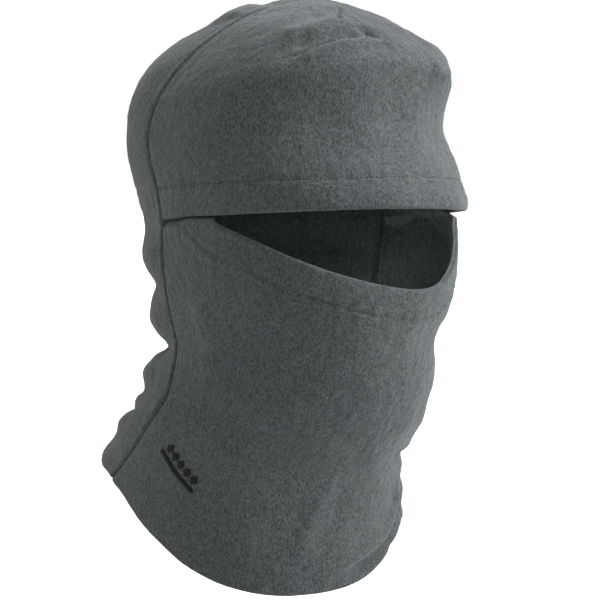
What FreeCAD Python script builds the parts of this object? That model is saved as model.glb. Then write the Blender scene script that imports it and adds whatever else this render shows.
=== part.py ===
"""A fleece balaclava: hood, brim, mask and bib, each cut of cloth a closed solid of its own.

Frame: the wearer faces -Y, the wearer's left is +X, +Z is up, millimetres. The origin is the
centre of the head on the ear line, at the height of the brim's lower edge.

A place on the hood is given by an angle round the head, in degrees from the front towards the
wearer's left, and a rise, which is the height in mm below the shoulder of the crown and runs on
over the dome to CROWN_RISE at the top. Depth is measured inwards from the outer face of the cloth.
"""
import FreeCAD, Part
import math
import os

Vector = FreeCAD.Vector

# ---- driving dimensions ----
CLOTH = 2.6             # one layer of fleece
SEAM_GAP = 0.4          # between two cut edges that are sewn edge to edge
LAYER_GAP = 0.4         # between two layers that lie on each other
BRIM_HEM = 18.5         # depth of the doubled lower edge of the front crown panel
MASK_HEM = 17.0         # depth of the doubled top edge of the mask
ALLOWANCE = 6.0         # width of a seam allowance inside the hood
ALLOWANCE_THICK = 2.4   # two trimmed layers, pressed flat by the overlock
ALLOWANCE_OFFSET = 0.3  # degrees from the cut edge of the back panel to the allowance
ALLOWANCE_FOOT = 1.0    # the allowances end this far above the lower edge
ALLOWANCE_TOP = 140.0   # rise where the long allowances end
ALLOWANCE_TAPER = 0.6   # share of its width that a side allowance loses towards the crown
TAPER_START = 100.0     # rise where it starts to narrow
TAPER_END = 155.5
DART = (118.0, 146.0)   # rises of the short dart at the front of the crown
OVERLOCK_INSET = 0.2    # degrees from the allowance's edge to the overlock thread
STITCH_INSET = 1.2      # from the inner edge of a hem to its topstitch
THREAD_WIDTH = 0.9
THREAD_HEIGHT = 0.5
FOREHEAD_TOP = 64.0     # rise where the forehead stops moving with the brim
CHIN_RISE = -110.0      # rise where the mask stops moving with its hem
CROWN_Y = -20.0         # the crown's highest point
CROWN_TOP = 128.0
CROWN_RISE = 160.0      # rise at the very top of the dome
CROWN_STOP = 157.5      # the panels stop here, at the bartack
MEAN_RADIUS = 90.0      # turns a width along the cloth into an angle round the head
SETTLE_PASSES = 12      # enough for the two bounds of a sheet to agree

# rise, half width, front, back, ear line, squareness in front, squareness behind
LEVELS = [
    (-250, 84, -44, 144, 50, 2.0, 2.0),    # below the bib
    (-205, 90, -48, 144, 50, 2.0, 2.0),    # bib
    (-162, 91, -50, 143, 46, 2.0, 2.0),    # lower end of the side seams
    (-130, 88, -72, 126, 32, 2.0, 2.0),    # neck
    (-100, 81, -91, 102, 12, 2.1, 2.0),    # under the chin
    (-78, 79, -98, 92, 3, 2.1, 2.0),       # nape
    (-45, 84, -107, 100, 0, 2.2, 2.0),     # cheeks
    (-10, 87, -110, 107, 0, 2.2, 2.0),     # eyes
    (4, 88, -113, 110, 0, 2.2, 2.0),       # brim edge
    (50, 91, -94, 121, 0, 2.2, 2.0),       # forehead
    (80, 88, -96, 116, 0, 2.3, 2.0),       # shoulder of the crown
]
# rise where the dome starts, and how full the dome is, in front, at the side and behind
SHOULDER = (86.0, 62.0, 47.0)
FULLNESS = (1.5, 1.75, 1.95)
# rise and angle of the side seam, from its lower end up behind the ear and over the crown
SIDE_SEAM = [(-250, 104), (-163, 103), (-140, 93), (-115, 88), (-90, 93),
             (-50, 101), (0, 100), (50, 103), (95, 90), (160, 78)]
# angle and rise of the lower edge, which hangs a little higher in front on the wearer's left
LOWER_EDGE = [
    (-180, -160), (-130, -158), (-102, -164), (-80, -186), (-55, -212), (-30, -224), (-14, -225.5),
    (2, -223), (12, -218), (34, -202.5), (52, -190), (80, -174), (102, -164), (130, -158), (180, -160),
]
# angle and rise of the mask's top edge; the mask sits turned a little to the wearer's right
MASK_EDGE = [(-100, 24), (-74, 3), (-65, -5), (-51, -13.5), (-33, -26), (-20, -34), (-7, -40),
             (7, -43), (18, -41), (28, -32), (40, -16), (50, -2), (66, 12), (100, 24)]
BRIM_SIDE = -1.5        # rise of the brim's lower edge at the side seams
BRIM_FRONT = 3.0        # and in front
UNDERLAP = (-15.0, -3.0)    # the mask passes inside the brim between these rises
UNDERLAP_ROOM = 2.2     # between the brim's inner face and the mask
UNDERLAP_DEPTH = 2 * CLOTH + UNDERLAP_ROOM

BARTACK_RADIUS = 3.2
BARTACK_HEIGHT = 1.2
BARTACK_NECK = 1.1      # radius of the thread that goes up through the crown
BARTACK_DROP = 3.0      # from the crown's inner face down to the knot's underside
NECK_DROP = 2.0         # and down to the lower end of its neck
NECK_SHORT = 0.1        # the neck ends this far under the crown's top

LABEL_WIDTH = 24.0
LABEL_LENGTH = 34.0
LABEL_THICK = 0.4
LABEL_RISE = -112.0     # rise of the label's sewn edge
LABEL_ROOM = 1.5        # from the seam allowance in to the label
LABEL_STITCHES = 5
LABEL_PITCH = 4.0       # from one stitch to the next
LABEL_STITCH = (2.4, 0.5, 0.6)      # along the seam, out of the ribbon, up
LABEL_STITCH_DROP = 1.8             # from the sewn edge down to the stitches
MARK_ANGLE = -66.0      # middle of the embroidered mark
MARK_RISE = -153.0
MARK_TILT = 38.0        # the mark runs along the bib's edge
MARK_LENGTH = 38.0
MARK_BAR = 2.4          # width of its satin-stitch bar
MARK_DIAMOND = 3.2      # half the width of a diamond
MARK_COUNT = 5
MARK_PITCH = 7.2        # from one diamond to the next
MARK_GAP = 1.0          # between the bar and the diamonds
MM_PER_DEGREE = 1.6     # along the bib, at the mark


def follow(table, column, at):
    """A smooth curve through one column of a table, flat-ended outside it."""
    at = min(max(at, table[0][0]), table[-1][0])
    last = len(table) - 1
    index = 0
    while index < last - 1 and at > table[index + 1][0]:
        index += 1

    def slope(k):
        if k == 0 or k == last:
            near = (0, 1) if k == 0 else (last - 1, last)
            return (table[near[1]][column] - table[near[0]][column]) / (table[near[1]][0] - table[near[0]][0])
        before = table[k][0] - table[k - 1][0]
        after = table[k + 1][0] - table[k][0]
        rise_before = (table[k][column] - table[k - 1][column]) / before
        rise_after = (table[k + 1][column] - table[k][column]) / after
        return (rise_before * after + rise_after * before) / (before + after)

    start, end = table[index], table[index + 1]
    span = end[0] - start[0]
    t = (at - start[0]) / span
    return (
        (2 * t ** 3 - 3 * t ** 2 + 1) * start[column]
        + (t ** 3 - 2 * t ** 2 + t) * span * slope(index)
        + (3 * t ** 2 - 2 * t ** 3) * end[column]
        + (t ** 3 - t ** 2) * span * slope(index + 1)
    )


def ease(value, low, high):
    """0 below low, 1 above high, smooth between."""
    t = min(max((value - low) / (high - low), 0.0), 1.0)
    return t * t * (3 - 2 * t)


def round_the_head(angle, values):
    """Blend the front, side and back value by angle."""
    facing = math.cos(math.radians(angle))
    front = max(facing, 0.0) ** 2
    back = max(-facing, 0.0) ** 2
    return values[0] * front + values[2] * back + values[1] * (1 - front - back)


def hood_point(angle, rise):
    """A point on the outer face of the cloth."""
    shoulder = round_the_head(angle, SHOULDER)
    full = round_the_head(angle, FULLNESS)
    level = min(rise, shoulder)
    width, front, back, ear, square_front, square_back = (
        follow(LEVELS, column, level) for column in range(1, 7)
    )
    ahead = math.cos(math.radians(angle))
    aside = math.sin(math.radians(angle))
    reach = ear - front if ahead > 0 else back - ear
    square = square_front if ahead > 0 else square_back
    radius = ((abs(aside) / width) ** square + (abs(ahead) / reach) ** square) ** (-1 / square)
    x = radius * aside
    y = ear - radius * ahead
    if rise <= shoulder:
        return Vector(x, y, level)
    turn = (rise - shoulder) / (CROWN_RISE - shoulder) * math.pi / 2
    shrink = math.cos(turn) ** (2 / full)
    lift = math.sin(turn) ** (2 / full)
    return Vector(x * shrink, CROWN_Y + (y - CROWN_Y) * shrink, level + (CROWN_TOP - shoulder) * lift)


def hood_normal(angle, rise):
    """The outward normal of the outer face."""
    step = 0.5
    along = hood_point(angle + step, rise) - hood_point(angle - step, rise)
    up = hood_point(angle, rise + step) - hood_point(angle, rise - step)
    return along.cross(up).normalize()


def place(angle, rise, depth):
    """A point at a depth under the outer face."""
    return hood_point(angle, rise) - hood_normal(angle, rise) * depth


def side_seam(rise):
    return follow(SIDE_SEAM, 1, rise)


def lower_edge(angle):
    return follow(LOWER_EDGE, 1, angle)


def mask_edge(angle):
    return follow(MASK_EDGE, 1, angle)


def brim_edge(angle):
    return BRIM_SIDE + (BRIM_FRONT - BRIM_SIDE) * max(math.cos(math.radians(angle)), 0.0) ** 2


def under_brim(rise):
    """How far the mask lies inside the hood's outer face."""
    return UNDERLAP_DEPTH * ease(rise, *UNDERLAP)


def gap_angle(gap):
    """Half a gap between two cut edges, as an angle round the head."""
    return math.degrees(gap / 2 / MEAN_RADIUS)


def cloth(sides, ends, depths, columns, rows):
    """A curved sheet as a solid: sides(rise) and ends(angle) bound it, depths(rise) give its faces."""
    outer, inner = [], []
    for i in range(columns + 1):
        outer_line, inner_line = [], []
        for j in range(rows + 1):
            angle, rise = settle(sides, ends, i / columns, j / rows)
            top, bottom = depths(rise)
            outer_line.append(place(angle, rise, top))
            inner_line.append(place(angle, rise, bottom))
        outer.append(outer_line)
        inner.append(inner_line)
    return sheet_solid(outer, inner)


def settle(sides, ends, across, along):
    """The angle and rise at fractions across and along a sheet whose bounds depend on each other."""
    rise = 0.0
    for _ in range(SETTLE_PASSES):
        left, right = sides(rise)
        angle = left + (right - left) * across
        low, high = ends(angle)
        rise = low + (high - low) * along
    return angle, rise


def sheet_solid(outer, inner):
    """Two curved faces through grids of points, joined by ruled faces round the edge."""
    faces = []
    edges = []
    for grid in (outer, inner):
        surface = Part.BSplineSurface()
        surface.interpolate(grid)
        faces.append(surface.toShape())
        u0, u1, v0, v1 = surface.bounds()
        curves = (surface.uIso(u0), surface.vIso(v1), surface.uIso(u1), surface.vIso(v0))
        edges.append([curve.toShape() for curve in curves])
    for outer_edge, inner_edge in zip(*edges):
        faces.append(Part.makeRuledSurface(outer_edge, inner_edge))
    shell = Part.makeShell(faces)
    shell.sewShape()
    solid = Part.makeSolid(Part.Shell(shell.Faces))
    if solid.Volume < 0:
        solid.reverse()
    return solid


def layers(count):
    """Depths of a sheet of this many layers of cloth."""
    return lambda rise: (0.0, count * CLOTH)


def mask_layers(count):
    return lambda rise: (under_brim(rise), under_brim(rise) + count * CLOTH)


def between_side_seams(rise):
    seam = side_seam(rise) - gap_angle(SEAM_GAP)
    return -seam, seam


def left_of_back(rise):
    return side_seam(rise) + gap_angle(SEAM_GAP), 180 - gap_angle(SEAM_GAP)


def right_of_back(rise):
    left, right = left_of_back(rise)
    return -right, -left


def back_panels():
    def ends(angle):
        return lower_edge(angle), CROWN_STOP
    return {
        "back_panel_left": cloth(left_of_back, ends, layers(1), 14, 40),
        "back_panel_right": cloth(right_of_back, ends, layers(1), 14, 40),
    }


def front_panels():
    """The front crown panel, with the part that moves with the brim as a piece of its own."""
    def crown(angle):
        return FOREHEAD_TOP + SEAM_GAP / 2, CROWN_STOP

    def forehead(angle):
        return brim_edge(angle) + BRIM_HEM + SEAM_GAP / 2, FOREHEAD_TOP - SEAM_GAP / 2

    def brim(angle):
        return brim_edge(angle), brim_edge(angle) + BRIM_HEM - SEAM_GAP / 2
    return {
        "front_crown_panel": cloth(between_side_seams, crown, layers(1), 28, 20),
        "forehead_panel": cloth(between_side_seams, forehead, layers(1), 28, 8),
        "brim_hem": cloth(between_side_seams, brim, layers(2), 28, 6),
    }


def mask_panels():
    """The lower front panel: doubled hem, the part that moves with it, and the bib."""
    def hem(angle):
        return mask_edge(angle) - MASK_HEM + SEAM_GAP / 2, mask_edge(angle)

    def mask(angle):
        return CHIN_RISE + SEAM_GAP / 2, mask_edge(angle) - MASK_HEM - SEAM_GAP / 2

    def bib(angle):
        return lower_edge(angle), CHIN_RISE - SEAM_GAP / 2
    return {
        "mask_hem": cloth(between_side_seams, hem, mask_layers(2), 40, 6),
        "mask_panel": cloth(between_side_seams, mask, mask_layers(1), 40, 32),
        "bib_panel": cloth(between_side_seams, bib, layers(1), 32, 14),
    }


def seam_allowances():
    """Trimmed edges inside the hood, turned to the back, and the overlock thread along each."""
    top = CLOTH + LAYER_GAP
    bottom = top + ALLOWANCE_THICK
    width = math.degrees(ALLOWANCE / MEAN_RADIUS)

    def side_strip(rise):
        # narrower towards the crown, where the hood closes in
        taper = 1 - ALLOWANCE_TAPER * ease(rise, TAPER_START, TAPER_END)
        start = side_seam(rise) + gap_angle(SEAM_GAP) + ALLOWANCE_OFFSET
        return start, start + width * taper

    def side_ends(angle):
        return lower_edge(angle) + ALLOWANCE_FOOT, ALLOWANCE_TOP

    def centre_strip(rise):
        return 180 - width / 2, 180 + width / 2

    def centre_ends(angle):
        return lower_edge(180) + ALLOWANCE_FOOT, ALLOWANCE_TOP

    def dart_strip(rise):
        return -width / 3, width / 3

    def dart_ends(angle):
        return DART

    def edge_thread(strip):
        def sides(rise):
            start, end = strip(rise)
            edge = end - math.degrees(THREAD_WIDTH / MEAN_RADIUS) - OVERLOCK_INSET
            return edge, end - OVERLOCK_INSET
        return sides

    def mirrored(strip):
        def sides(rise):
            start, end = strip(rise)
            return -end, -start
        return sides

    def flat(rise):
        return top, bottom

    def raised(rise):
        return bottom, bottom + THREAD_HEIGHT

    left, right = side_strip, mirrored(side_strip)
    left_thread = edge_thread(side_strip)
    return {
        "side_seam_allowance_left": cloth(left, side_ends, flat, 2, 40),
        "side_seam_allowance_right": cloth(right, side_ends, flat, 2, 40),
        "centre_back_seam_allowance": cloth(centre_strip, centre_ends, flat, 2, 36),
        "front_dart_allowance": cloth(dart_strip, dart_ends, flat, 2, 8),
        "side_seam_overlock_left": cloth(left_thread, side_ends, raised, 1, 40),
        "side_seam_overlock_right": cloth(mirrored(left_thread), side_ends, raised, 1, 40),
        "centre_back_overlock": cloth(edge_thread(centre_strip), centre_ends, raised, 1, 36),
    }


def topstitches():
    """The thread that holds each hem, proud of the outer face."""
    limit = gap_angle(2 * STITCH_INSET)

    def sides(rise):
        seam = side_seam(rise) - limit
        return -seam, seam

    def brim(angle):
        line = brim_edge(angle) + BRIM_HEM - STITCH_INSET
        return line - THREAD_WIDTH, line

    def mask(angle):
        line = mask_edge(angle) - MASK_HEM + STITCH_INSET
        return line, line + THREAD_WIDTH

    def on_brim(rise):
        return -THREAD_HEIGHT, 0.0

    def on_mask(rise):
        return under_brim(rise) - THREAD_HEIGHT, under_brim(rise)
    return {
        "brim_topstitch": cloth(sides, brim, on_brim, 28, 1),
        "mask_topstitch": cloth(sides, mask, on_mask, 40, 1),
    }


def crown_bartack():
    """The knot of stitches that closes the crown."""
    ceiling = CROWN_TOP - CLOTH
    knot = Part.makeCylinder(BARTACK_RADIUS, BARTACK_HEIGHT, Vector(0, CROWN_Y, ceiling - BARTACK_DROP))
    reach = CLOTH + NECK_DROP - NECK_SHORT
    neck = Part.makeCylinder(BARTACK_NECK, reach, Vector(0, CROWN_Y, ceiling - NECK_DROP))
    return knot.fuse(neck).removeSplitter()


def care_label():
    """A ribbon that hangs from the centre-back seam allowance, and the stitches that hold it."""
    edge = place(180, LABEL_RISE, CLOTH + LAYER_GAP + ALLOWANCE_THICK + LABEL_ROOM)
    ribbon = Part.makeBox(
        LABEL_WIDTH, LABEL_THICK, LABEL_LENGTH,
        Vector(-LABEL_WIDTH / 2, edge.y - LABEL_THICK, edge.z - LABEL_LENGTH),
    )
    stitches = []
    length, proud, _ = LABEL_STITCH
    for k in range(LABEL_STITCHES):
        x = (k - (LABEL_STITCHES - 1) / 2) * LABEL_PITCH - length / 2
        corner = Vector(x, edge.y - LABEL_THICK - proud, edge.z - LABEL_STITCH_DROP)
        stitches.append(Part.makeBox(*LABEL_STITCH, corner))
    return {"care_label": ribbon, "care_label_stitches": Part.makeCompound(stitches)}


def bib_embroidery():
    """A satin-stitch bar with a row of diamonds over it, as a group of separate solids."""
    slope = math.radians(MARK_TILT)

    def at(along, across):
        angle = MARK_ANGLE + (along * math.cos(slope) + across * math.sin(slope)) / MM_PER_DEGREE
        rise = MARK_RISE - along * math.sin(slope) + across * math.cos(slope)
        return angle, rise

    def raised(corners, steps):
        """A four-cornered patch proud of the bib; corners are along, across pairs."""
        grids = []
        for depth in (-THREAD_HEIGHT, 0.0):
            grid = []
            for i in range(steps + 1):
                s = i / steps
                line = []
                for j in range(3):
                    t = j / 2
                    first = [a + (b - a) * s for a, b in zip(corners[0], corners[1])]
                    second = [a + (b - a) * s for a, b in zip(corners[3], corners[2])]
                    spot = [a + (b - a) * t for a, b in zip(first, second)]
                    angle, rise = at(*spot)
                    line.append(place(angle, rise, depth))
                grid.append(line)
            grids.append(grid)
        return sheet_solid(*grids)

    half = MARK_LENGTH / 2
    pieces = [raised([(-half, 0), (half, 0), (half, MARK_BAR), (-half, MARK_BAR)], 6)]
    middle = MARK_BAR + MARK_GAP + MARK_DIAMOND
    for k in range(MARK_COUNT):
        centre = (k - (MARK_COUNT - 1) / 2) * MARK_PITCH
        corners = [(centre - MARK_DIAMOND, middle), (centre, middle - MARK_DIAMOND),
                   (centre + MARK_DIAMOND, middle), (centre, middle + MARK_DIAMOND)]
        pieces.append(raised(corners, 2))
    return Part.makeCompound(pieces)


nodes = {}
nodes.update(back_panels())
nodes.update(front_panels())
nodes.update(mask_panels())
nodes.update(seam_allowances())
nodes.update(topstitches())
nodes["crown_bartack"] = crown_bartack()
nodes.update(care_label())
nodes["bib_embroidery"] = bib_embroidery()

os.makedirs("parts", exist_ok=True)
for name, shape in nodes.items():
    shape.exportStep(f"parts/{name}.step")
    print(name, "valid" if shape.isValid() else "INVALID", f"{shape.Volume / 1000:.2f} cm3")
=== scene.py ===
"""The balaclava's looks: fleece, folds, hems, stitches and light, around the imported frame.

A place on the hood is given by an angle round the head, in degrees from the front towards the
wearer's left, and a rise in mm, as in the CAD model. Lengths are in mm until a mesh is made.
"""

import math

import bpy
import numpy as np
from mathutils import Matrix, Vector


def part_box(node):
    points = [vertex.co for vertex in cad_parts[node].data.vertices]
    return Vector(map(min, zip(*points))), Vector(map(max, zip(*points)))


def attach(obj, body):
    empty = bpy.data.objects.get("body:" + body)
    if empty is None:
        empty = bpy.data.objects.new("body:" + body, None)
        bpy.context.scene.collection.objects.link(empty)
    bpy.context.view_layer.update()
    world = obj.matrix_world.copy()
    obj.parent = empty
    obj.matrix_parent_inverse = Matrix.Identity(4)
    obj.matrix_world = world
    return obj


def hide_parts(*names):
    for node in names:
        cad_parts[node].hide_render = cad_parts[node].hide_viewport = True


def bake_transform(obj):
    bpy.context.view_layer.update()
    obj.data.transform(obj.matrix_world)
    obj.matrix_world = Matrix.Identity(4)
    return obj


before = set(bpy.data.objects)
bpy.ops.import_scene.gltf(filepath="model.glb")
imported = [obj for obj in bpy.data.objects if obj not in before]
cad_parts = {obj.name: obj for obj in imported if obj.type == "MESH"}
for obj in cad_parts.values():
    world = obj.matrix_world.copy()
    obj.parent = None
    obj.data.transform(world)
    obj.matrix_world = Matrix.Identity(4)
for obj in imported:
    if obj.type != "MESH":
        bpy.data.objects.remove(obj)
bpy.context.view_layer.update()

MM = 0.001

# ---- the hood's shape, as the CAD model has it ----
CLOTH = 2.6             # one layer of fleece
BRIM_HEM = 18.5
MASK_HEM = 17.0
CROWN_Y = -20.0
CROWN_TOP = 128.0
CROWN_RISE = 160.0      # rise at the very top of the dome
CROWN_STOP = 159.2      # the panels end here, at the bartack
MM_PER_DEGREE = 1.6     # along the cloth, on the face and the bib
LEVELS = [
    # rise, half width, front, back, ear line, squareness in front, squareness behind
    (-250, 84, -44, 144, 50, 2.0, 2.0),
    (-205, 90, -48, 144, 50, 2.0, 2.0),
    (-162, 91, -50, 143, 46, 2.0, 2.0),
    (-130, 88, -72, 126, 32, 2.0, 2.0),
    (-100, 81, -91, 102, 12, 2.1, 2.0),
    (-78, 79, -98, 92, 3, 2.1, 2.0),
    (-45, 84, -107, 100, 0, 2.2, 2.0),
    (-10, 87, -110, 107, 0, 2.2, 2.0),
    (4, 88, -113, 110, 0, 2.2, 2.0),
    (50, 91, -94, 121, 0, 2.2, 2.0),
    (80, 88, -96, 116, 0, 2.3, 2.0),
]
SHOULDER = (86.0, 62.0, 47.0)
FULLNESS = (1.5, 1.75, 1.95)
SIDE_SEAM = [(-250, 104), (-163, 103), (-140, 93), (-115, 88), (-90, 93),
             (-50, 101), (0, 100), (50, 103), (95, 90), (160, 78)]
LOWER_EDGE = [
    (-180, -160), (-130, -158), (-102, -164), (-80, -186), (-55, -212), (-30, -224),
    (-14, -225.5), (2, -223), (12, -218), (34, -202.5), (52, -190), (80, -174), (102, -164),
    (130, -158), (180, -160),
]
MASK_EDGE = [(-100, 24), (-74, 3), (-65, -5), (-51, -13.5), (-33, -26), (-20, -34), (-7, -40),
             (7, -43), (18, -41), (28, -32), (40, -16), (50, -2), (66, 12), (100, 24)]
BRIM_SIDE = -1.5
BRIM_FRONT = 3.0
BRIM_DROOP = 2.2        # the brim hangs lower where its hem is sewn into the side seams
DROOP_ANGLES = (78, 98)
HEM_THICK = 4.2         # two layers pressed together by the topstitch
HEM_STEP = 0.8          # half the width over which a hem changes from two layers to one
UNDERLAP = (-7.5, -1.5)     # the mask passes inside the brim between these rises
UNDERLAP_LATE = 3.0     # its outer part starts this much higher beside the slot
UNDERLAP_FAR = 1.6      # and all of it higher still on the wearer's left, where the mask rides up
BESIDE_SLOT = (38, 48)  # angles over which those come in, and go out again
BESIDE_SEAM = (80, 92)
UNDERLAP_DEPTH = HEM_THICK + 0.5

# ---- how the cloth is sewn ----
SEAM_ROLL = 2.8         # width of the cloth that rolls into a seam
SEAM_DROP = 1.15        # how deep it rolls
STITCH_PITCH = 3.0
STITCH_LENGTH = 2.3
STITCH_RADIUS = 0.26
STITCH_DIP = 0.55       # how far a stitch's ends go into the cloth
STITCH_PROUD = 0.12     # how far its middle stands out of the groove
STITCH_INSET = 1.5      # degrees from the side seam to the end of a topstitch
GROOVE_DEPTH = 0.55     # a topstitch pulls the cloth in by this much
GROOVE_WIDTH = 1.3
PUCKER_HEIGHT = 0.22    # small gathers on both sides of a topstitch
PUCKER_WIDTH = 5
NAP_HEIGHT = 0.11
GRID = 1.35             # spacing of the cloth's vertices
BORDER = (0, 0.15, 0.4, 0.75, 1.2, 1.8, 2.5, 3.4, 4.5)      # and near a border, in from it
DENSE_GRID = 0.5        # and beside a topstitch
CLOSEST = 0.08
SETTLE_PASSES = 16      # enough for the bounds of a sheet to agree


def follow(table, column, at):
    """A smooth curve through one column of a table, for an array of places."""
    xs = np.array([row[0] for row in table], float)
    ys = np.array([row[column] for row in table], float)
    at = np.clip(np.asarray(at, float), xs[0], xs[-1])
    span = np.diff(xs)
    grade = np.diff(ys) / span
    slope = np.empty_like(ys)
    slope[0], slope[-1] = grade[0], grade[-1]
    slope[1:-1] = (grade[:-1] * span[1:] + grade[1:] * span[:-1]) / (span[:-1] + span[1:])
    k = np.clip(np.searchsorted(xs, at, side="right") - 1, 0, len(xs) - 2)
    t = (at - xs[k]) / span[k]
    return (
        (2 * t ** 3 - 3 * t ** 2 + 1) * ys[k]
        + (t ** 3 - 2 * t ** 2 + t) * span[k] * slope[k]
        + (3 * t ** 2 - 2 * t ** 3) * ys[k + 1]
        + (t ** 3 - t ** 2) * span[k] * slope[k + 1]
    )


def ease(value, low, high):
    """0 below low, 1 above high, smooth between."""
    t = np.clip((value - low) / (high - low), 0, 1)
    return t * t * (3 - 2 * t)


def round_the_head(angle, values):
    """Blend the front, side and back value by angle."""
    facing = np.cos(np.radians(angle))
    front = np.clip(facing, 0, 1) ** 2
    back = np.clip(-facing, 0, 1) ** 2
    return values[0] * front + values[2] * back + values[1] * (1 - front - back)


def hood(angle, rise):
    """Points on the smooth outer face, before folds."""
    angle, rise = np.broadcast_arrays(np.asarray(angle, float), np.asarray(rise, float))
    shoulder = round_the_head(angle, SHOULDER)
    full = round_the_head(angle, FULLNESS)
    level = np.minimum(rise, shoulder)
    width, front, back, ear, square_front, square_back = (
        follow(LEVELS, column, level) for column in range(1, 7)
    )
    ahead, aside = np.cos(np.radians(angle)), np.sin(np.radians(angle))
    reach = np.where(ahead > 0, ear - front, back - ear)
    square = np.where(ahead > 0, square_front, square_back)
    sides = (np.abs(aside) / width) ** square + (np.abs(ahead) / reach) ** square
    radius = sides ** (-1 / square)
    turn = np.clip((rise - shoulder) / (CROWN_RISE - shoulder), 0, 1) * math.pi / 2
    shrink = np.cos(turn) ** (2 / full)
    lift = np.sin(turn) ** (2 / full)
    x = radius * aside * shrink
    y = CROWN_Y + (ear - radius * ahead - CROWN_Y) * shrink
    return np.stack([x, y, level + (CROWN_TOP - shoulder) * lift], -1)


def hood_normal(angle, rise):
    """The outward normal of the smooth outer face."""
    step = 0.5
    along = hood(angle + step, rise) - hood(angle - step, rise)
    up = hood(angle, rise + step) - hood(angle, rise - step)
    normal = np.cross(along, up)
    return normal / np.linalg.norm(normal, axis=-1, keepdims=True)


def side_seam(rise):
    return follow(SIDE_SEAM, 1, rise)


def lower_edge(angle):
    return follow(LOWER_EDGE, 1, angle)


def mask_edge(angle):
    return follow(MASK_EDGE, 1, angle)


def brim_edge(angle):
    facing = np.clip(np.cos(np.radians(angle)), 0, 1)
    droop = BRIM_DROOP * ease(np.abs(angle), *DROOP_ANGLES)
    return BRIM_SIDE + (BRIM_FRONT - BRIM_SIDE) * facing ** 2 - droop


def under_brim(angle, rise):
    """Depth at which the mask passes inside the brim, which follows the brim where it droops."""
    def between(at):
        return ease(at, *BESIDE_SLOT) * ease(-at, -BESIDE_SEAM[1], -BESIDE_SEAM[0])

    far = UNDERLAP_FAR * between(angle)
    low = UNDERLAP[0] + UNDERLAP_LATE * between(np.abs(angle)) + far
    high = UNDERLAP[1] + far
    fallen = np.minimum(brim_edge(angle) - BRIM_SIDE, 0)
    return UNDERLAP_DEPTH * ease(rise, low + fallen, high + fallen)


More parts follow.
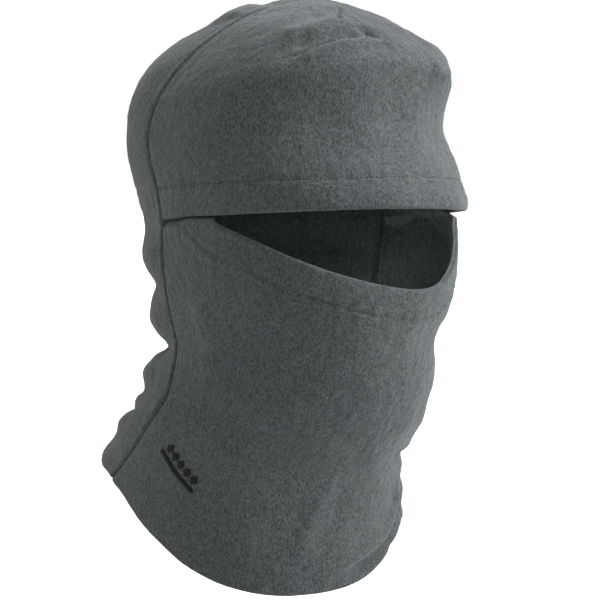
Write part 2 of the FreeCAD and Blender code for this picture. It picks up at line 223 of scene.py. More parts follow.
# ---- folds ----
# Each fold is a path of (angle, rise) places, a half width and a height in mm; a negative height
# is a valley. Both are measured on the hood itself, so folds run on across seams.
FOLDS = [
    # broad shape: fuller behind the crown, hollow over the brow, fuller at the brim's corner
    ([(-122, 10), (-122, 50), (-122, 90), (-118, 118)], 34, 3.6),
    ([(122, 10), (122, 50), (122, 90), (118, 118)], 34, 3.0),
    ([(-100, 118), (-112, 128), (-130, 138)], 14, 3.4),
    ([(-150, 150), (180, 146), (150, 150)], 14, 2.4),
    ([(88, 50), (60, 54), (38, 54), (12, 54)], 18, -5.6),
    ([(60, 96), (40, 100), (24, 104)], 15, 4.2),
    ([(34, 82), (27, 83), (18, 86)], 8, 3.2),
    ([(60, 6), (34, 6), (14, 8)], 9, 2.4),
    # crown: the front panel is gathered in front of its dart
    ([(-40, 92), (-34, 96.5), (-27, 103), (-18, 108), (-5, 112), (4, 114)], 1.9, -3.4),
    ([(-38, 99), (-30, 105), (-18, 111.5), (-6, 115)], 4.2, -3.3),
    ([(-46, 106), (-34, 111), (-20, 118), (-8, 123)], 7, 2.7),
    ([(-36, 91), (-28, 97), (-18, 102), (-6, 106)], 5.5, 1.2),
    ([(-8, 118), (-3, 113), (1, 108)], 3.0, -2.2),
    ([(-11.5, 97), (-4, 101.5), (4, 104)], 3.2, -1.7),
    ([(-2, 139), (-13, 127), (-16, 119)], 1.8, -1.9),
    ([(-10, 140), (-22, 128), (-25, 121)], 4.5, 1.2),
    ([(14, 122), (22, 117), (34, 112)], 6, 1.4),
    ([(40, 118), (34, 104), (30, 92)], 6, -1.5),
    # forehead
    ([(-16, 92), (-12, 60), (-10, 30)], 16, 1.6),
    ([(-62, 70), (-58, 45), (-60, 25)], 18, 1.0),
    # nape, right
    ([(-96, -8), (-125, -6), (-160, -8)], 10, -2.4),
    ([(-104, -26), (-125, -25), (-150, -28), (-178, -26)], 8, 2.2),
    ([(-106, -47), (-125, -44), (-150, -46), (-178, -44)], 6.5, -4.2),
    ([(-100, -66), (-120, -63), (-150, -66), (-178, -64)], 8, 4.0),
    ([(-102, -82), (-122, -80), (-150, -83), (-178, -80)], 4.5, -7.0),
    ([(-104, -96), (-122, -97), (-150, -99), (-178, -96)], 6.5, 3.8),
    ([(-104, -108), (-125, -109), (-150, -110), (-178, -108)], 4.5, -2.4),
    ([(-106, -121), (-125, -120), (-150, -121), (-178, -119)], 4.0, -3.6),
    ([(-104, -133), (-125, -131), (-150, -132), (-178, -130)], 5.5, 1.6),
    ([(-102, -154), (-125, -153), (-150, -152), (-178, -151)], 8, 4.2),
    ([(-92, -166), (-112, -163), (-140, -161)], 6, 2.2),
    # nape, left
    ([(96, -4), (125, -2), (160, -4)], 9, -1.0),
    ([(104, -20), (128, -23), (155, -21), (178, -22)], 9, 2.4),
    ([(104, -45), (128, -47), (155, -45), (178, -44)], 7, -3.8),
    ([(101, -63), (128, -66), (155, -63), (178, -64)], 8, 3.6),
    ([(102, -80), (128, -82), (155, -79), (178, -80)], 5, -6.2),
    ([(104, -95), (128, -97), (155, -95), (178, -96)], 6.5, 3.4),
    ([(104, -111), (128, -109), (155, -111), (178, -108)], 5, -3.6),
    ([(106, -134), (128, -131), (155, -134), (178, -131)], 6, 1.8),
    # mask and neck front
    ([(74, -14), (58, -14), (46, -22)], 9, 2.4),
    ([(-80, -40), (-72, -70), (-66, -100)], 9, 1.4),
    ([(-74, -112), (-52, -118), (-36, -132), (-24, -150)], 10, -2.2),
    ([(-66, -128), (-48, -144), (-34, -160)], 9, 1.4),
    ([(70, -72), (44, -75), (24, -74), (4, -70)], 14, -3.4),
    ([(38, -60), (24, -64), (10, -60)], 4, 0.8),
    ([(40, -95), (24, -98), (8, -95)], 5, -1.0),
    ([(64, -120), (44, -124), (26, -126), (8, -122)], 10, 2.0),
    ([(-40, -140), (-10, -146), (10, -142)], 18, -2.0),
    # bib: soft ridges down the middle, and a roll along the edge on the wearer's left
    ([(-6, -158), (-12, -180), (-18, -203)], 5, 1.7),
    ([(3, -160), (-3, -182), (-10, -204)], 6, -1.4),
    ([(40, -158), (38, -180), (24, -195), (8, -205), (-6, -211)], 4.0, 2.6),
    ([(54, -156), (47, -184), (30, -201), (13, -211), (-2, -216)], 3.8, -5.4),
    ([(70, -160), (62, -184), (42, -201), (18, -217), (2, -223)], 4.5, 3.6),
    ([(76, -151), (50, -150), (32, -149), (20, -146)], 4.5, -3.4),
    ([(78, -170), (56, -176), (44, -182)], 11, 3.0),
]


def wrapped(angle):
    """The same angle between -180 and 180 degrees."""
    return (angle + 180) % 360 - 180


def path_points(path):
    """A fold's path as finely spaced points on the hood."""
    places = np.array(path, float)
    at = np.linspace(0, len(places) - 1, 7 * (len(places) - 1) + 1)
    angle = np.interp(at, range(len(places)), np.unwrap(places[:, 0], period=360))
    rise = np.interp(at, range(len(places)), places[:, 1])
    return hood(wrapped(angle), rise)


def distance_to_path(points, line):
    """Distance from each point to a line of points, and how far along it the nearest place is."""
    best = np.full(len(points), np.inf)
    along = np.zeros(len(points))
    for k in range(len(line) - 1):
        start, run = line[k], line[k + 1] - line[k]
        t = np.clip((points - start) @ run / (run @ run), 0, 1)
        gap = ((points - start - t[:, None] * run) ** 2).sum(1)
        closer = gap < best
        best = np.where(closer, gap, best)
        along = np.where(closer, (k + t) / (len(line) - 1), along)
    return np.sqrt(best), along


FOLD_LINES = [(path_points(path), width, height) for path, width, height in FOLDS]
FOLD_REACH = 2.6        # a fold is felt this many half widths away


def fold_height(points):
    """How far the folds lift the cloth off the smooth hood."""
    flat = points.reshape(-1, 3)
    total = np.zeros(len(flat))
    for line, width, height in FOLD_LINES:
        margin = FOLD_REACH * width
        near = np.all((flat > line.min(0) - margin) & (flat < line.max(0) + margin), axis=1)
        if not near.any():
            continue
        gap, along = distance_to_path(flat[near], line)
        taper = 0.15 + 0.85 * ease(along, 0, 0.25) * ease(1 - along, 0, 0.25)
        total[near] += height * taper * np.exp(-(gap / width) ** 2)
    return total.reshape(points.shape[:-1])


def waves(points, wavelength, count, seed):
    """Smooth noise from crossing waves, about -1 to 1, the same on every run."""
    draw = np.random.default_rng(seed)
    total = np.zeros(points.shape[:-1])
    for _ in range(count):
        heading = draw.normal(size=3)
        heading /= np.linalg.norm(heading)
        number = 2 * math.pi / (wavelength * draw.uniform(0.75, 1.4))
        total += np.sin(points @ heading * number + draw.uniform(0, 2 * math.pi))
    return total / math.sqrt(count)


def slackness(points):
    """Low, broad unevenness that any worn cloth has."""
    return 0.40 * waves(points, 46, 14, 11) + 0.16 * waves(points, 19, 18, 12)


def skin(angle, rise, *depths):
    """Points on the folded cloth at each depth under its outer face."""
    base = hood(angle, rise)
    lift = fold_height(base) + slackness(base)
    normal = hood_normal(angle, rise)
    made = [base + normal * (lift - depth)[..., None] for depth in depths]
    return made if len(made) > 1 else made[0]


# ---- cloth ----
def spread(length, dense):
    """Fractions from 0 to 1 along a length, finer near both borders and in dense bands."""
    marks = set(BORDER) | {length - d for d in BORDER}
    marks |= set(np.arange(BORDER[-1] + GRID, length - BORDER[-1], GRID))
    for low, high in dense:
        marks = {m for m in marks if not low < m < high}
        marks |= set(np.linspace(low, high, int((high - low) / DENSE_GRID) + 1))
    marks = np.array(sorted(m for m in marks if 0 <= m <= length))
    keep = np.concatenate([[True], np.diff(marks) > CLOSEST])
    keep[-1] = True
    return marks[keep] / length


def settle(sides, ends, across, along):
    """Angles and rises of a grid whose bounds depend on each other."""
    across, along = np.meshgrid(across, along)
    rise = np.zeros_like(across)
    for _ in range(SETTLE_PASSES):
        left, right = sides(rise)
        angle = left + (right - left) * across
        low, high = ends(angle)
        rise = low + (high - low) * along
    return angle, rise


def border_distances(points):
    """Distance of each grid point from the low, high, left and right borders, along the grid."""
    down = np.linalg.norm(np.diff(points, axis=0), axis=-1)
    over = np.linalg.norm(np.diff(points, axis=1), axis=-1)
    low = np.vstack([np.zeros(points.shape[1]), np.cumsum(down, 0)])
    left = np.hstack([np.zeros((points.shape[0], 1)), np.cumsum(over, 1)])
    return low, low[-1] - low, left, left[:, -1:] - left


def nap(shape, seed):
    """Fine unevenness of the pile, smoothed white noise."""
    noise = np.random.default_rng(seed).normal(size=shape)
    for axis in (0, 1):
        for _ in range(2):
            noise = (np.roll(noise, 1, axis) + 2 * noise + np.roll(noise, -1, axis)) / 4
    return noise / noise.std()


def cloth(name, sides, ends, size, dense, thickness, seams, grooves, under, seed):
    """A closed sheet of fleece.

    size is its rough width and height; thickness(angle, rise) counts the layers of a hem; seams
    tells which borders roll into a seam, in the order low, high, left, right; grooves(angle, rise)
    is how far stitches pull it in; under(angle, rise) sets it inside another piece.
    """
    across = spread(size[0], [])
    along = spread(size[1], dense)
    angle, rise = settle(sides, ends, across, along)
    base = hood(angle, rise)
    borders = border_distances(base)
    edge = np.minimum.reduce(borders)
    thick = thickness(angle, rise)
    drop = grooves(angle, rise) + under(angle, rise)
    for distance, is_seam in zip(borders, seams):
        if is_seam:
            drop = drop + SEAM_DROP * (1 - ease(distance, 0, SEAM_ROLL))
    full = np.sqrt(1 - (1 - np.clip(edge / (thick / 2), 0, 1)) ** 2)
    outer_depth = drop + thick * (1 - full) / 2
    inner_depth = drop + thick * (1 + full) / 2
    fuzz = NAP_HEIGHT * nap(angle.shape, seed) * full
    return sheet_mesh(name, *skin(angle, rise, outer_depth - fuzz, inner_depth + fuzz))


def sheet_mesh(name, outer, inner):
    """Two grids of points that meet at their borders, as one closed mesh."""
    rows, columns = outer.shape[:2]
    first = np.arange(rows * columns).reshape(rows, columns)
    second = first.copy()
    within = np.arange((rows - 2) * (columns - 2)).reshape(rows - 2, columns - 2)
    second[1:-1, 1:-1] = rows * columns + within
    points = np.concatenate([outer.reshape(-1, 3), inner[1:-1, 1:-1].reshape(-1, 3)])

    def quads(index, outward):
        corners = [index[:-1, :-1], index[:-1, 1:], index[1:, 1:], index[1:, :-1]]
        if not outward:
            corners.reverse()
        return np.stack([c.ravel() for c in corners], -1)

    outside, inside = quads(first, True), quads(second, False)
    made = solid(name, points, np.concatenate([outside, inside]).tolist())
    made.data.polygons.foreach_set("material_index", [0] * len(outside) + [1] * len(inside))
    return made


def solid(name, points, faces):
    """A smooth-shaded object from points in mm and faces."""
    mesh = bpy.data.meshes.new(name)
    mesh.from_pydata((np.asarray(points) * MM).tolist(), [], faces)
    mesh.validate()
    mesh.shade_smooth()
    made = bpy.data.objects.new(name, mesh)
    bpy.context.scene.collection.objects.link(made)
    return made


def hemmed(distance, hem):
    """Thickness of cloth that is folded double up to a distance from its edge."""
    return HEM_THICK + (CLOTH - HEM_THICK) * ease(distance, hem - HEM_STEP, hem + HEM_STEP)


def level(value):
    """A function of angle and rise, or of rise alone, that is the same everywhere."""
    return lambda *place: np.full_like(place[-1], value)


single, nothing = level(CLOTH), level(0.0)


def groove(distance):
    return GROOVE_DEPTH * np.exp(-(distance / GROOVE_WIDTH) ** 2)


def edge_lean(edge, angle):
    """Cosine of an edge's slope, to turn a height above it into a distance from it."""
    step = 1.0
    climb = (edge(angle + step) - edge(angle - step)) / (2 * step * MM_PER_DEGREE)
    return 1 / np.sqrt(1 + climb ** 2)


def from_brim_edge(angle, rise):
    return rise - brim_edge(angle)


def from_mask_edge(angle, rise):
    return (mask_edge(angle) - rise) * edge_lean(mask_edge, angle)


def pucker(angle, pitch, seed):
    """Small gathers along a hem, strongest between stitches and uneven along it."""
    run = angle * MM_PER_DEGREE
    return np.sin(run * 2 * math.pi / pitch + 1.7 * np.sin(run / 23 + seed))


def stitched(gap, gathers):
    """How far a topstitch, at a distance, pulls the cloth in, with the gathers beside it."""
    return groove(gap) - PUCKER_HEIGHT * gathers * np.exp(-(gap / PUCKER_WIDTH) ** 2)


def brim_grooves(angle, rise):
    return stitched(from_brim_edge(angle, rise) - BRIM_HEM, pucker(angle, 9.5, 1))


def mask_grooves(angle, rise):
    return stitched(from_mask_edge(angle, rise) - MASK_HEM, pucker(angle, 8.5, 4))


def front_crown():
    def sides(rise):
        return -side_seam(rise), side_seam(rise)

    def ends(angle):
        return brim_edge(angle), np.full_like(angle, CROWN_STOP)

    def thickness(angle, rise):
        return hemmed(from_brim_edge(angle, rise), BRIM_HEM)

    return cloth("front_crown", sides, ends, (365, 185), [(14, 22)], thickness,
                 (False, True, True, True), brim_grooves, nothing, 21)


def lower_front():
    def sides(rise):
        return -side_seam(rise), side_seam(rise)

    def ends(angle):
        return lower_edge(angle), mask_edge(angle)

    def thickness(angle, rise):
        return hemmed(from_mask_edge(angle, rise), MASK_HEM)

    return cloth("lower_front", sides, ends, (360, 185), [(162, 174)], thickness,
                 (False, False, True, True), mask_grooves, under_brim, 31)


def back_half(name, side, seed):
    def sides(rise):
        seam = side_seam(rise)
        return (seam, np.full_like(rise, 180)) if side > 0 else (np.full_like(rise, -180), -seam)

    def ends(angle):
        return lower_edge(angle), np.full_like(angle, CROWN_STOP)

    return cloth(name, sides, ends, (150, 320), [], single, (False, True, True, True),
                 nothing, nothing, seed)


# ---- threads ----
THREAD_END = 0.45       # a thread's end is this share of its radius


def tubes(name, paths, radius, sides=6):
    """Round threads along paths of points in mm, closed and tapered at both ends, as one mesh."""
    points, faces = [], []
    for path in paths:
        path = np.asarray(path, float)
        ahead = np.gradient(path, axis=0)
        ahead /= np.linalg.norm(ahead, axis=1, keepdims=True)
        upright = abs(ahead[:, 2]).mean() >= 0.8
        helper = np.array([1.0, 0.0, 0.0] if upright else [0.0, 0.0, 1.0])
        right = np.cross(ahead, helper)
        right /= np.linalg.norm(right, axis=1, keepdims=True)
        up = np.cross(right, ahead)
        start = len(points)
        last = len(path) - 1
        for k, spot in enumerate(path):
            size = radius * (THREAD_END if k in (0, last) else 1.0)
            for s in range(sides):
                turn = 2 * math.pi * s / sides
                points.append(spot + size * (math.cos(turn) * right[k] + math.sin(turn) * up[k]))
        for k in range(last):
            for s in range(sides):
                a = start + k * sides + s
                b = start + k * sides + (s + 1) % sides
                faces.append([a, b, b + sides, a + sides])
        faces.append([start + s for s in reversed(range(sides))])
        faces.append([start + last * sides + s for s in range(sides)])
    return solid(name, points, faces)


def stitch_paths(angle, rise, depth):
    """Single stitches along a line of places, each a short thread that dips at both ends."""
    line = skin(angle, rise, np.zeros_like(angle))
    run = np.concatenate([[0], np.cumsum(np.linalg.norm(np.diff(line, axis=0), axis=1))])
    paths = []
    for start in np.arange(2.0, run[-1] - 2.0, STITCH_PITCH):
        at = start + np.linspace(0, STITCH_LENGTH, 6)
        stitch_angle = np.interp(at, run, angle)
        stitch_rise = np.interp(at, run, rise)
        dip = STITCH_DIP * (2 * np.linspace(0, 1, 6) - 1) ** 4
        paths.append(skin(stitch_angle, stitch_rise, depth(stitch_angle, stitch_rise) + dip))
    return paths


def brim_topstitch():
    limit = side_seam(BRIM_HEM) - STITCH_INSET
    angle = np.linspace(-limit, limit, 500)
    rise = brim_edge(angle) + BRIM_HEM

    def depth(a, r):
        return brim_grooves(a, r) - STITCH_PROUD

    return tubes("brim_stitches", stitch_paths(angle, rise, depth), STITCH_RADIUS)


def mask_topstitch():
    limit = side_seam(5.0) - STITCH_INSET
    angle = np.linspace(-limit, limit, 500)
    rise = mask_edge(angle) - MASK_HEM / edge_lean(mask_edge, angle)

    def depth(a, r):
        return mask_grooves(a, r) + under_brim(a, r) - STITCH_PROUD

    return tubes("mask_stitches", stitch_paths(angle, rise, depth), STITCH_RADIUS)


SATIN_PITCH = 0.42      # from one strand to the next
SATIN_RADIUS = 0.25
SATIN_FOOT = 0.30       # a strand's ends stand this far out of the cloth
SATIN_HUMP = 0.55       # and its middle this much further
MARK_ANGLE, MARK_RISE, MARK_TILT = -66.0, -153.0, 38.0
MARK_LENGTH, MARK_BAR, MARK_DIAMOND = 38.0, 2.4, 3.2
MARK_COUNT, MARK_PITCH, MARK_GAP = 5, 7.2, 1.0


def embroidery():
    """The bar and the diamonds in satin stitch: strands side by side, humped over their width."""
    slope = math.radians(MARK_TILT)

    def strand(along, low, high):
        across = np.linspace(low, high, 7)
        angle = MARK_ANGLE + (along * math.cos(slope) + across * math.sin(slope)) / MM_PER_DEGREE
        rise = MARK_RISE - along * math.sin(slope) + across * math.cos(slope)
        hump = SATIN_FOOT + SATIN_HUMP * (1 - (2 * np.linspace(0, 1, 7) - 1) ** 4)
        return skin(angle, rise, -hump)

    half = MARK_LENGTH / 2
    paths = [strand(along, 0, MARK_BAR) for along in np.arange(-half, half, SATIN_PITCH)]
    middle = MARK_BAR + MARK_GAP + MARK_DIAMOND
    for k in range(MARK_COUNT):
        centre = (k - (MARK_COUNT - 1) / 2) * MARK_PITCH
        for offset in np.arange(-MARK_DIAMOND + 0.35, MARK_DIAMOND - 0.3, SATIN_PITCH):
            reach = MARK_DIAMOND - abs(offset)
            paths.append(strand(centre + offset, middle - reach, middle + reach))
    return tubes("embroidery", paths, SATIN_RADIUS)


# ---- seams inside ----
ALLOWANCE = 6.0
ALLOWANCE_THICK = 2.4
ALLOWANCE_TOP = CLOTH + 0.1     # depth of its outer face
ALLOWANCE_STOP = 140.0          # rise where the long ones end
ALLOWANCE_TAPER = (0.6, 100)    # share of its width a side one loses, from this rise up
MEAN_RADIUS = 90                # turns a width along the cloth into an angle
DART = (118.0, 146.0)
LOOP_PITCH = 2.4                # of an overlock's loops, along the seam
LOOP_STEP = 0.4                 # between the points of a loop
# distance of each point of a loop from the cut edge, and its depth under the allowance's face
LOOP_REACH = np.array([3.6, 2.4, 0.6, -0.35, 0.6, 2.4])
LOOP_DEPTH = np.array([0.10, 0.22, 0.16, -0.9, 0.16, 0.22])
CHAIN_DEPTH = 0.25              # the chain lies this much further in than the loops


def allowance(name, start, end, low, high, seed):
    """A trimmed seam edge that lies flat inside the hood; start and end are angles by rise."""
    def sides(rise):
        return start(rise), end(rise)

    def ends(angle):
        return low(angle), np.full_like(angle, high)

    return cloth(name, sides, ends, (ALLOWANCE, high - low(np.array(0.0))), [],
                 level(ALLOWANCE_THICK), (False, False, False, False), nothing,
                 level(ALLOWANCE_TOP), seed)


def overlock(name, edge, inward, low, high):
    """Thread looped over a trimmed edge, at an angle by rise; inward is the way to the seam."""
    loops = int((high - low) / LOOP_PITCH)
    step = np.arange(loops * len(LOOP_REACH))
    rise = low + LOOP_STEP * step
    reach = LOOP_REACH[step % len(LOOP_REACH)]
    depth = ALLOWANCE_TOP + ALLOWANCE_THICK + LOOP_DEPTH[step % len(LOOP_DEPTH)]
    base = hood(edge(rise), rise)
    radius = np.hypot(base[:, 0], base[:, 1] - 10)
    angle = edge(rise) + inward * np.degrees(reach / radius)
    path = skin(wrapped(angle), rise, depth)
    chain = edge(rise[::3]) + inward * np.degrees(LOOP_REACH[0] / radius[::3])
    line = skin(wrapped(chain), rise[::3], depth[::3] + CHAIN_DEPTH)
    return tubes(name, [path, line], 0.2, 5)


def side_allowance_start(rise):
    return side_seam(rise) + 0.3


def side_allowance_end(rise):
    share, low = ALLOWANCE_TAPER
    taper = 1 - share * ease(rise, low, ALLOWANCE_STOP)
    return side_allowance_start(rise) + math.degrees(ALLOWANCE / MEAN_RADIUS) * taper


def inner_seams():
    """Allowances with their overlock threads, as (piece, node, slot) rows."""
    half = math.degrees(ALLOWANCE / (2 * MEAN_RADIUS))
    flat = math.degrees(ALLOWANCE / (3 * MEAN_RADIUS))

    def foot(angle):
        return lower_edge(angle) + 1.0

    def mirrored(function):
        return lambda rise: -function(rise)

    start, end = side_allowance_start, side_allowance_end
    side_low = float(lower_edge(103.0)) + 3
    centre_low = float(lower_edge(180.0)) + 3
    top, thread_top = ALLOWANCE_STOP, ALLOWANCE_STOP - 2
    centre_right, centre_left = level(180 - half), level(180 + half)
    rows = (
        (allowance("allowance_left", start, end, foot, top, 61), "side_seam_allowance_left"),
        (allowance("allowance_right", mirrored(end), mirrored(start), foot, top, 62),
         "side_seam_allowance_right"),
        (allowance("allowance_centre", centre_right, centre_left, level(lower_edge(180.0) + 1.0),
                   top, 63), "centre_back_seam_allowance"),
        (allowance("allowance_dart", level(-flat), level(flat), level(DART[0]), DART[1], 64),
         "front_dart_allowance"),
        (overlock("overlock_left", end, -1, side_low, thread_top), "side_seam_overlock_left"),
        (overlock("overlock_right", mirrored(end), 1, side_low, thread_top),
         "side_seam_overlock_right"),
        (overlock("overlock_centre", centre_left, -1, centre_low, thread_top),
         "centre_back_overlock"),
    )
    return [(piece, node, "overlock_thread" if "overlock" in node else "fleece")
            for piece, node in rows]


# ---- small pieces ----
# height over the crown, radius and bulge of each layer of strands
BARTACK_LAYERS = [(0.0, 3.4, 0.7), (-0.7, 3.2, 0.3), (-1.4, 3.0, 0), (-2.1, 2.8, 0),
                  (-2.8, 2.8, 0), (-3.5, 3.0, -0.3), (-4.2, 3.4, -0.7)]
BARTACK_STRANDS = 9
BARTACK_RADIUS = 0.42       # of one strand
RIBBON_THICK = 0.36
RIBBON_CURL = 1.1           # how far the label's free end leans off the cloth
SELVEDGE = (1.2, 0.06)      # width and height of its woven edge


def bartack():
    """The knot that closes the crown: layers of crossed strands, right through the cloth."""
    paths = []
    for height, radius, bulge in BARTACK_LAYERS:
        for k in range(BARTACK_STRANDS):
            turn = math.pi * k / BARTACK_STRANDS
            reach = np.linspace(-radius, radius, 9)
            rise = CROWN_TOP + height + bulge * (1 - (reach / radius) ** 2)
            along, across = reach * math.cos(turn), CROWN_Y + reach * math.sin(turn)
            paths.append(np.stack([along, across, rise], -1))
    return tubes("bartack", paths, BARTACK_RADIUS)


def label():
    """A woven ribbon, a little curled, sewn by its top edge."""
    low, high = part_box("care_label")
    width, length = (high[0] - low[0]) / MM, (high[2] - low[2]) / MM
    face, top = high[1] / MM, high[2] / MM
    edges = np.linspace(-width / 2, width / 2, 33)
    across, down = np.meshgrid(edges, np.linspace(0, length, 45))
    curl = RIBBON_CURL * (down / length) ** 2 * (1 + 0.4 * np.cos(across * 0.22))
    curl = curl + 0.12 * np.sin(down * 0.5 + across * 0.2)
    selvedge = SELVEDGE[1] * ((np.abs(across) > width / 2 - SELVEDGE[0]) * 1.0)
    outer = np.stack([across, face - curl + selvedge, top - down], -1)
    inner = outer - np.array([0, RIBBON_THICK, 0])
    return sheet_mesh("label_ribbon", outer[::-1], inner[::-1])


def label_stitches():
    low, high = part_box("care_label_stitches")
    rise, face = (low[2] + high[2]) / 2 / MM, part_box("care_label")[0][1] / MM
    paths = []
    for start in np.arange(low[0] / MM, high[0] / MM - 1.5, 2.6):
        run = np.linspace(0, 2.1, 6)
        hump = 0.28 * (1 - (2 * np.linspace(0, 1, 6) - 1) ** 4)
        paths.append(np.stack([start + run, face - 0.05 - hump, np.full(6, rise)], -1))
    return tubes("label_stitches", paths, 0.2)


# ---- materials ----
FLEECE_DARK = (0.036, 0.041, 0.043)
FLEECE_LIGHT = (0.100, 0.110, 0.112)
CLUMP_TINTS = ((0.86, 0.86, 0.86), (1.10, 1.10, 1.10))
CLOUD_TINTS = ((0.94, 0.94, 0.95), (1.05, 1.05, 1.04))


def nodes_of(material):
    material.use_nodes = True
    tree = material.node_tree
    tree.nodes.clear()
    shader = tree.nodes.new("ShaderNodeBsdfPrincipled")
    output = tree.nodes.new("ShaderNodeOutputMaterial")
    tree.links.new(shader.outputs["BSDF"], output.inputs["Surface"])
    return tree, shader


def noise_node(tree, vector, scale, detail, roughness):
    made = tree.nodes.new("ShaderNodeTexNoise")
    made.inputs["Scale"].default_value = scale
    made.inputs["Detail"].default_value = detail
    made.inputs["Roughness"].default_value = roughness
    tree.links.new(vector, made.inputs["Vector"])
    return made


def ramp_node(tree, value, low, high, dark, light):
    made = tree.nodes.new("ShaderNodeValToRGB")
    made.color_ramp.elements[0].position = low
    made.color_ramp.elements[1].position = high
    made.color_ramp.elements[0].color = (*dark, 1)
    made.color_ramp.elements[1].color = (*light, 1)
    tree.links.new(value, made.inputs["Fac"])
    return made


def multiply_node(tree, first, second):
    made = tree.nodes.new("ShaderNodeMix")
    made.data_type = "RGBA"
    made.blend_type = "MULTIPLY"
    made.inputs["Factor"].default_value = 1.0
    tree.links.new(first, made.inputs[6])
    tree.links.new(second, made.inputs[7])
    return made.outputs[2]


def bump_node(tree, height, distance, strength, before=None):
    made = tree.nodes.new("ShaderNodeBump")
    made.inputs["Strength"].default_value = strength
    made.inputs["Distance"].default_value = distance
    tree.links.new(height, made.inputs["Height"])
    if before is not None:
        tree.links.new(before, made.inputs["Normal"])
    return made.outputs["Normal"]


def fleece_material(name, bright):
    """Short napped pile: flecked at 1 mm, clumped at 4 mm, with a soft bloom at grazing angles."""
    material = bpy.data.materials.new(name)
    tree, shader = nodes_of(material)
    place = tree.nodes.new("ShaderNodeTexCoord").outputs["Object"]
    grain = tree.nodes.new("ShaderNodeMapping")
    grain.inputs["Scale"].default_value = (1.0, 1.0, 0.6)
    tree.links.new(place, grain.inputs["Vector"])
    fleck = noise_node(tree, grain.outputs["Vector"], 950, 3, 0.62)
    clump = noise_node(tree, place, 230, 2, 0.55)
    cloud = noise_node(tree, place, 22, 2, 0.5)
    # bright scales both colours; above 1 it paints light onto the fleece
    dark = tuple(bright * c for c in FLEECE_DARK)
    light = tuple(bright * c for c in FLEECE_LIGHT)
    base = ramp_node(tree, fleck.outputs["Fac"], 0.34, 0.68, dark, light)
    patch = ramp_node(tree, clump.outputs["Fac"], 0.30, 0.70, *CLUMP_TINTS)
    drift = ramp_node(tree, cloud.outputs["Fac"], 0.30, 0.70, *CLOUD_TINTS)
    colour = multiply_node(tree, base.outputs["Color"], patch.outputs["Color"])
    colour = multiply_node(tree, colour, drift.outputs["Color"])
    tree.links.new(colour, shader.inputs["Base Color"])
    fine = bump_node(tree, fleck.outputs["Fac"], 0.0006, 0.75)
    coarse = bump_node(tree, clump.outputs["Fac"], 0.0010, 0.45, fine)
    tree.links.new(coarse, shader.inputs["Normal"])
    shader.inputs["Roughness"].default_value = 0.95
    shader.inputs["Specular IOR Level"].default_value = 0.12
    shader.inputs["Sheen Weight"].default_value = 0.22
    shader.inputs["Sheen Roughness"].default_value = 0.45
    shader.inputs["Sheen Tint"].default_value = (0.78, 0.84, 0.86, 1)
    return material


def thread_material(name, colour, sheen):
    """Twisted thread, finely ribbed."""
    material = bpy.data.materials.new(name)
    tree, shader = nodes_of(material)
    place = tree.nodes.new("ShaderNodeTexCoord").outputs["Object"]
    fibre = noise_node(tree, place, 2600, 2, 0.6)
    dark = tuple(0.7 * c for c in colour)
    light = tuple(min(1.25 * c, 1) for c in colour)
    shade = ramp_node(tree, fibre.outputs["Fac"], 0.3, 0.7, dark, light)
    tree.links.new(shade.outputs["Color"], shader.inputs["Base Color"])
    tree.links.new(bump_node(tree, fibre.outputs["Fac"], 0.0002, 0.6), shader.inputs["Normal"])
    shader.inputs["Roughness"].default_value = 0.6
    shader.inputs["Specular IOR Level"].default_value = 0.15
    shader.inputs["Sheen Weight"].default_value = sheen
    return material


# ---- stage ----
ROOM = 0.12             # brightness of the room in front, against 1 for the backdrop
ROOM_WAY = (-0.62, -0.77, -0.10)    # the way to the room's middle
FLOOR_REACH, FLOOR_LEVEL = 60000, -620
FLOOR_GREY = 0.66
AZIMUTH, ELEVATION, DISTANCE = -35, 3, 1.25     # of the camera, in degrees and metres
TARGET_RISE, TARGET_RIGHT = -0.053, 0.003       # what it looks at
VIEW_WIDTH = 600 * 0.61 * MM                    # what the picture is wide at that distance


def stage():
    corners = ((-1, -1), (1, -1), (1, 1), (-1, 1))
    floor = solid("floor", [(x * FLOOR_REACH, y * FLOOR_REACH, FLOOR_LEVEL) for x, y in corners],
                  [(0, 1, 2, 3)])
    pale = bpy.data.materials.new("floor")
    tree, shader = nodes_of(pale)
    shader.inputs["Base Color"].default_value = (FLOOR_GREY, FLOOR_GREY, FLOOR_GREY, 1)
    shader.inputs["Roughness"].default_value = 0.9
    shader.inputs["Emission Color"].default_value = (1, 1, 1, 1)
    seen = tree.nodes.new("ShaderNodeLightPath").outputs["Is Camera Ray"]
    tree.links.new(seen, shader.inputs["Emission Strength"])
    floor.data.materials.append(pale)
    world = bpy.data.worlds.new("studio")
    bpy.context.scene.world = world
    world.use_nodes = True
    tree = world.node_tree
    # a white backdrop behind the hood, and a dimmer room in front of it
    facing = tree.nodes.new("ShaderNodeVectorMath")
    facing.operation = "DOT_PRODUCT"
    facing.inputs[1].default_value = ROOM_WAY
    tree.links.new(tree.nodes.new("ShaderNodeTexCoord").outputs["Generated"], facing.inputs[0])
    dim = tree.nodes.new("ShaderNodeMapRange")
    dim.inputs["From Min"].default_value = -0.35
    dim.inputs["From Max"].default_value = 0.75
    dim.inputs["To Min"].default_value = 1.0
    dim.inputs["To Max"].default_value = ROOM
    tree.links.new(facing.outputs["Value"], dim.inputs["Value"])
    seen = tree.nodes.new("ShaderNodeMath")
    seen.operation = "MAXIMUM"
    tree.links.new(tree.nodes.new("ShaderNodeLightPath").outputs["Is Camera Ray"], seen.inputs[0])
    tree.links.new(dim.outputs["Result"], seen.inputs[1])
    background = tree.nodes["Background"]
    background.inputs["Color"].default_value = (1, 1, 1, 1)
    tree.links.new(seen.outputs["Value"], background.inputs["Strength"])


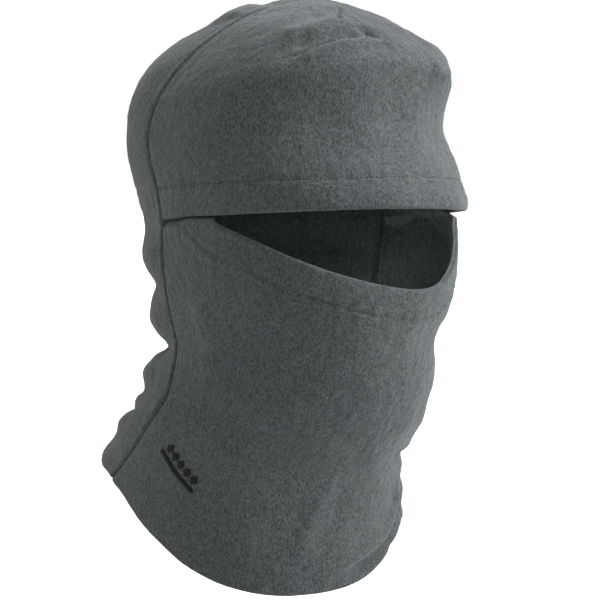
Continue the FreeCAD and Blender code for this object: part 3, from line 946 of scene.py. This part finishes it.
def area_light(name, place, aim, size, power):
    lamp = bpy.data.lights.new(name, "AREA")
    lamp.shape = "DISK"
    lamp.size = size
    lamp.energy = power
    made = bpy.data.objects.new(name, lamp)
    made.location = place
    made.rotation_euler = (aim - made.location).to_track_quat("-Z", "Y").to_euler()
    bpy.context.scene.collection.objects.link(made)


def camera():
    azimuth, elevation = math.radians(AZIMUTH), math.radians(ELEVATION)
    right = np.array([math.cos(azimuth), math.sin(azimuth), 0])
    back = np.array([math.sin(azimuth) * math.cos(elevation),
                     -math.cos(azimuth) * math.cos(elevation), math.sin(elevation)])
    target = np.array([0, 0, TARGET_RISE]) + TARGET_RIGHT * right
    made = bpy.data.objects.new("camera", bpy.data.cameras.new("camera"))
    made.location = target + DISTANCE * back
    made.rotation_euler = (math.pi / 2 - elevation, 0, azimuth)
    made.data.sensor_width = 36
    made.data.lens = made.data.sensor_width * DISTANCE / VIEW_WIDTH
    bpy.context.scene.collection.objects.link(made)
    bpy.context.scene.camera = made


MASK_BLEND = {"start": (0, -0.088, -0.110), "end": (0, -0.1195, -0.0687)}
BRIM_BLEND = {"start": (0, -0.096, 0.070), "end": (0, -0.1196, 0.0233)}

camera()
stage()
bpy.context.scene.view_settings.view_transform = "Standard"
centre = Vector((0, 0, -0.03))
area_light("right_key", (1.1, -1.15, 0.8), centre, 0.8, 40)
area_light("left_rim", (-1.0, 0.9, 0.7), centre, 0.7, 6)
area_light("top_fill", (0.45, -0.45, 1.6), centre, 1.0, 20)
area_light("slot_fill", (-0.45, -1.5, 0.35), centre, 0.5, 5)

fleece = fleece_material("fleece", 1.0)
fleece_inside_painted_light = fleece_material("fleece_inside", 2.5)    # painted light: the inner side's colour is 2.5 times brighter, to light the inside of the hood; the cloth is the same on both sides
sewing = thread_material("sewing_thread", (0.040, 0.044, 0.046), 0.3)
looped = thread_material("overlock_thread", (0.050, 0.055, 0.058), 0.3)
satin = thread_material("embroidery_thread", (0.012, 0.012, 0.013), 0.02)
ribbon = thread_material("label_ribbon", (0.62, 0.62, 0.60), 0.2)

crown = front_crown()
mask = lower_front()
left = back_half("back_left", 1, 41)
right = back_half("back_right", -1, 51)
# the inner faces take the inside fleece, whose colour is brightened as painted light
for piece in (crown, mask, left, right):
    piece.data.materials.append(fleece)
    piece.data.materials.append(fleece_inside_painted_light)
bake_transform(crown)
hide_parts("front_crown_panel", "forehead_panel", "brim_hem")
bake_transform(mask)
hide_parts("mask_hem", "mask_panel", "bib_panel")
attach(left, "root")
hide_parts("back_panel_left")
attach(right, "root")
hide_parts("back_panel_right")

brim_thread = brim_topstitch()
mask_thread = mask_topstitch()
for piece, body, node, bend in ((brim_thread, "brim", "brim_topstitch", BRIM_BLEND),
                                (mask_thread, "mask_edge", "mask_topstitch", MASK_BLEND)):
    piece.data.materials.append(sewing)
    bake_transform(piece)
    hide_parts(node)

for piece, node, slot in inner_seams():
    # the allowances take the inside fleece too, brightened as painted light
    piece.data.materials.append(fleece_inside_painted_light if slot == "fleece" else looped)
    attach(piece, "root")
    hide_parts(node)

for piece, body, node, slot, finish in (
    (embroidery(), "root", "bib_embroidery", "embroidery_thread", satin),
    (bartack(), "root", "crown_bartack", "sewing_thread", sewing),
    (label(), "label", "care_label", "label_ribbon", ribbon),
    (label_stitches(), "label", "care_label_stitches", "sewing_thread", sewing),
):
    piece.data.materials.append(finish)
    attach(piece, body)
    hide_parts(node)
